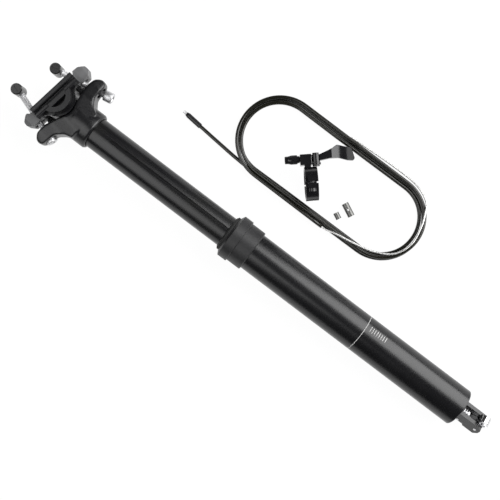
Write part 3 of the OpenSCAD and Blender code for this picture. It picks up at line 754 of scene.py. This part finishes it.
@dataclass
class ReturnSpring:
    """The coil spring that pushes the valve stem back out at the post's foot."""

    foot_x: float = -199.0
    wire: float = 0.8
    radius: float = 2.9
    turns: int = 5
    span: float = 8.9
    press: float = 0.59
    clearance: float = 0.1
    turn_steps: int = 40
    sides: int = 12

    def build(self) -> None:
        """Makes the spring in one fixed shape."""
        steps = self.turn_steps * self.turns
        path = []
        for i in range(steps + 1):
            a = 2 * math.pi * i / self.turn_steps
            x = self.foot_x - self.wire / 2 - self.clearance - self.span * i / steps
            path.append(Vector((x, self.radius * math.cos(a), self.radius * math.sin(a))) * MM)
        along = Vector((1, 0, 0))
        spring = sweep("stem_return_spring", path, lambda run, a: self.wire / 2 * MM, self.sides, along)
        dress(spring, BRIGHT_STEEL)
        seat(spring, Body.LOWER_POST, "bright_steel", "stem_spring")
        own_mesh(spring)


@dataclass
class PrintedScale:
    """A plain printed ring and height marks on the lower tube, made with Geometry Nodes."""

    tube_r: float = 15.45
    ring_x: float = -104.0
    first: float = -108.0
    pitch: float = 2.0
    marks: int = 8
    mark_length: float = 5.0
    width: float = 0.45
    film: float = 0.03
    turn: float = 118.0
    arc_step: float = 3.0
    least_steps: int = 4
    ring_span: float = 359.0

    def tree(self) -> bpy.types.NodeTree:
        """Builds the node tree that repeats one mark along the tube.

        Returns:
            The tree, with named inputs for its sizes.
        """
        tree = bpy.data.node_groups.new("height_marks", "GeometryNodeTree")
        face = tree.interface
        face.new_socket("Geometry", in_out="OUTPUT", socket_type="NodeSocketGeometry")
        face.new_socket("Mark", in_out="INPUT", socket_type="NodeSocketGeometry")
        face.new_socket("Count", in_out="INPUT", socket_type="NodeSocketInt")
        face.new_socket("Pitch", in_out="INPUT", socket_type="NodeSocketFloat")
        face.new_socket("Ink", in_out="INPUT", socket_type="NodeSocketMaterial")
        nodes, links = tree.nodes, tree.links
        given, result = nodes.new("NodeGroupInput"), nodes.new("NodeGroupOutput")
        row = nodes.new("GeometryNodeMeshLine")
        step = nodes.new("ShaderNodeCombineXYZ")
        put = nodes.new("GeometryNodeInstanceOnPoints")
        real = nodes.new("GeometryNodeRealizeInstances")
        ink = nodes.new("GeometryNodeSetMaterial")
        links.new(given.outputs["Count"], row.inputs["Count"])
        links.new(given.outputs["Pitch"], step.inputs["X"])
        links.new(step.outputs["Vector"], row.inputs["Offset"])
        links.new(row.outputs["Mesh"], put.inputs["Points"])
        links.new(given.outputs["Mark"], put.inputs["Instance"])
        links.new(put.outputs["Instances"], real.inputs["Geometry"])
        links.new(real.outputs["Geometry"], ink.inputs["Geometry"])
        links.new(given.outputs["Ink"], ink.inputs["Material"])
        links.new(ink.outputs["Geometry"], result.inputs["Geometry"])
        return tree

    def strip(self, name: str, x: float, width: float, start: float, stop: float) -> bpy.types.Object:
        """Makes one thin printed strip on the tube.

        Args:
            name: Name of the strip.
            x: Its middle along the tube, in millimetres.
            width: Its width along the tube, in millimetres.
            start: First angle round the tube, in degrees from Y to Z.
            stop: Last angle.

        Returns:
            The strip, as a closed film.
        """
        steps = max(self.least_steps, math.ceil((stop - start) / self.arc_step))
        half, low, high = width / 2, self.tube_r - self.film, self.tube_r + self.film
        rings = []
        for i in range(steps + 1):
            a = math.radians(start + (stop - start) * i / steps)
            rings.append([Vector((x + dx, r * math.cos(a), r * math.sin(a))) * MM
                          for dx, r in ((-half, low), (-half, high), (half, high), (half, low))])
        return skin(name, rings)

    def build(self) -> None:
        """Prints the ring and the marks."""
        half = math.degrees(self.mark_length / self.tube_r) / 2
        marks = self.strip("printed_height_marks", self.first - self.pitch * (self.marks - 1), self.width,
                           self.turn - half, self.turn + half)
        repeat = marks.modifiers.new("repeat", "NODES")
        repeat.node_group = self.tree()
        items = repeat.node_group.interface.items_tree
        sockets = {s.name: s.identifier for s in items if s.in_out == "INPUT"}
        repeat[sockets["Count"]] = self.marks
        repeat[sockets["Pitch"]] = self.pitch * MM
        repeat[sockets["Ink"]] = WHITE_INK.material()
        shown = marks.evaluated_get(bpy.context.evaluated_depsgraph_get())
        mesh = bpy.data.meshes.new_from_object(shown)
        marks.modifiers.clear()
        marks.data = mesh
        dress(marks, WHITE_INK)
        seat(marks, Body.LOWER_POST, "black_alloy")
        ring = self.strip("printed_ring", self.ring_x, self.width, 0.0, self.ring_span)
        dress(ring, WHITE_INK)
        seat(ring, Body.LOWER_POST, "black_alloy")


@dataclass
class Studio:
    """Floor, lamps and camera."""

    bench: Bench
    eye: tuple[float, float, float] = (0.0022, 0.0003, 0.685)
    aim: tuple[float, float, float] = (0.0022, 0.0003, 0.0)
    image_up: tuple[float, float, float] = (0.6036, -0.7973, 0.0)
    lens: float = 63.4
    sensor: float = 36.0
    floor_size: float = 6.0
    floor_gap: float = 0.00005
    floor_colour: Colour = (0.9, 0.9, 0.9)
    floor_share: float = 0.93
    white_strength: float = 1.03
    surround_strength: float = 0.06
    lamps: Sequence[tuple[str, tuple[float, float, float], float, tuple[float, float]]] = (
        ("key", (-0.60, -0.85, 0.82), 30.0, (1.3, 1.4)),
        ("fill", (0.45, 0.58, 1.00), 8.0, (1.1, 1.1)))

    def floor(self) -> None:
        """Lays a white bench top that keeps a faint shadow."""
        half = self.floor_size / 2
        sides = ((-half, -half), (half, -half), (half, half), (-half, half))
        corners = [Vector((x, y, self.bench.height(x) - self.floor_gap)) for x, y in sides]
        top = mesh_piece("bench_top", corners, [(0, 1, 2, 3)], smooth=False)
        white = bpy.data.materials.new("bench_white")
        white.use_nodes = True
        nodes, links = white.node_tree.nodes, white.node_tree.links
        nodes.remove(nodes["Principled BSDF"])
        matte, glow = nodes.new("ShaderNodeBsdfDiffuse"), nodes.new("ShaderNodeEmission")
        matte.inputs["Color"].default_value = (*self.floor_colour, 1.0)
        ray, mix = nodes.new("ShaderNodeLightPath"), nodes.new("ShaderNodeMixShader")
        share, seen, clear = (nodes.new("ShaderNodeMath") for _ in range(3))
        seen.operation, clear.operation, share.operation = "MAXIMUM", "MAXIMUM", "MULTIPLY"
        share.inputs[1].default_value = self.floor_share
        glow.inputs["Strength"].default_value = self.white_strength
        links.new(ray.outputs["Is Camera Ray"], seen.inputs[0])
        links.new(ray.outputs["Is Glossy Ray"], seen.inputs[1])
        links.new(seen.outputs[0], clear.inputs[0])
        links.new(ray.outputs["Is Transmission Ray"], clear.inputs[1])
        links.new(clear.outputs[0], share.inputs[0])
        links.new(share.outputs[0], mix.inputs["Fac"])
        links.new(matte.outputs[0], mix.inputs[1])
        links.new(glow.outputs[0], mix.inputs[2])
        links.new(mix.outputs[0], nodes["Material Output"].inputs["Surface"])
        top.data.materials.append(white)

    def light(self) -> None:
        """Hangs the soft lamps in a dim even surround, which the camera sees as white."""
        for name, at, power, (wide, deep) in self.lamps:
            lamp = bpy.data.lights.new(name, "AREA")
            lamp.shape, lamp.size, lamp.size_y, lamp.energy = "RECTANGLE", wide, deep, power
            obj = bpy.data.objects.new(name, lamp)
            obj.location = at
            obj.rotation_euler = (-Vector(at)).to_track_quat("-Z", "Y").to_euler()
            bpy.context.scene.collection.objects.link(obj)
        world = bpy.data.worlds.new("surround")
        world.use_nodes = True
        nodes, links = world.node_tree.nodes, world.node_tree.links
        ray, level = nodes.new("ShaderNodeLightPath"), nodes.new("ShaderNodeMapRange")
        level.inputs["To Min"].default_value = self.surround_strength
        level.inputs["To Max"].default_value = self.white_strength
        links.new(ray.outputs["Is Camera Ray"], level.inputs["Value"])
        links.new(level.outputs["Result"], nodes["Background"].inputs["Strength"])
        nodes["Background"].inputs["Color"].default_value = (1.0, 1.0, 1.0, 1.0)
        bpy.context.scene.world = world

    def camera(self) -> None:
        """Puts the camera above the bench, at the photograph's angle."""
        data = bpy.data.cameras.new("camera")
        data.lens, data.sensor_width = self.lens, self.sensor
        obj = bpy.data.objects.new("camera", data)
        back = (Vector(self.eye) - Vector(self.aim)).normalized()
        right = Vector(self.image_up).cross(back).normalized()
        up = back.cross(right)
        turn = Matrix((right, up, back)).transposed().to_4x4()
        obj.matrix_world = Matrix.Translation(self.eye) @ turn
        bpy.context.scene.collection.objects.link(obj)
        bpy.context.scene.camera = obj

    def build(self) -> None:
        """Sets the floor, the lamps, the camera and the plain view transform."""
        self.camera()
        self.light()
        self.floor()
        bpy.context.scene.view_settings.view_transform = "Standard"


def main() -> None:
    """Builds the set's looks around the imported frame."""
    logging.basicConfig(level=logging.INFO, format="%(name)s: %(message)s")
    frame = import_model()
    bench = Bench()
    Studio(bench).build()
    Cable(bench).build(frame["nodes"])
    bolts = [ClampBolt("front_bolt_threaded", "front_bolt", side=-1, slip=7.5),
             ClampBolt("rear_bolt_threaded", "rear_bolt", side=1, slip=0.0)]
    for bolt in bolts:
        bolt.build()
    yoke = Forging("head_yoke_forged", "head_yoke", Body.UPPER_POST, "black_alloy", FORGED, crisp_below=159.0)
    yoke.build(frame["nodes"], [bolt.place() for bolt in bolts])
    ReturnSpring().build()
    PrintedScale().build()
    for name, finish in NODE_FINISH.items():
        dress(frame["nodes"][name], finish)
        LOG.info("%s has the finish %s", name, finish.name)
    bpy.context.view_layer.update()


if __name__ == "__main__":
    main()
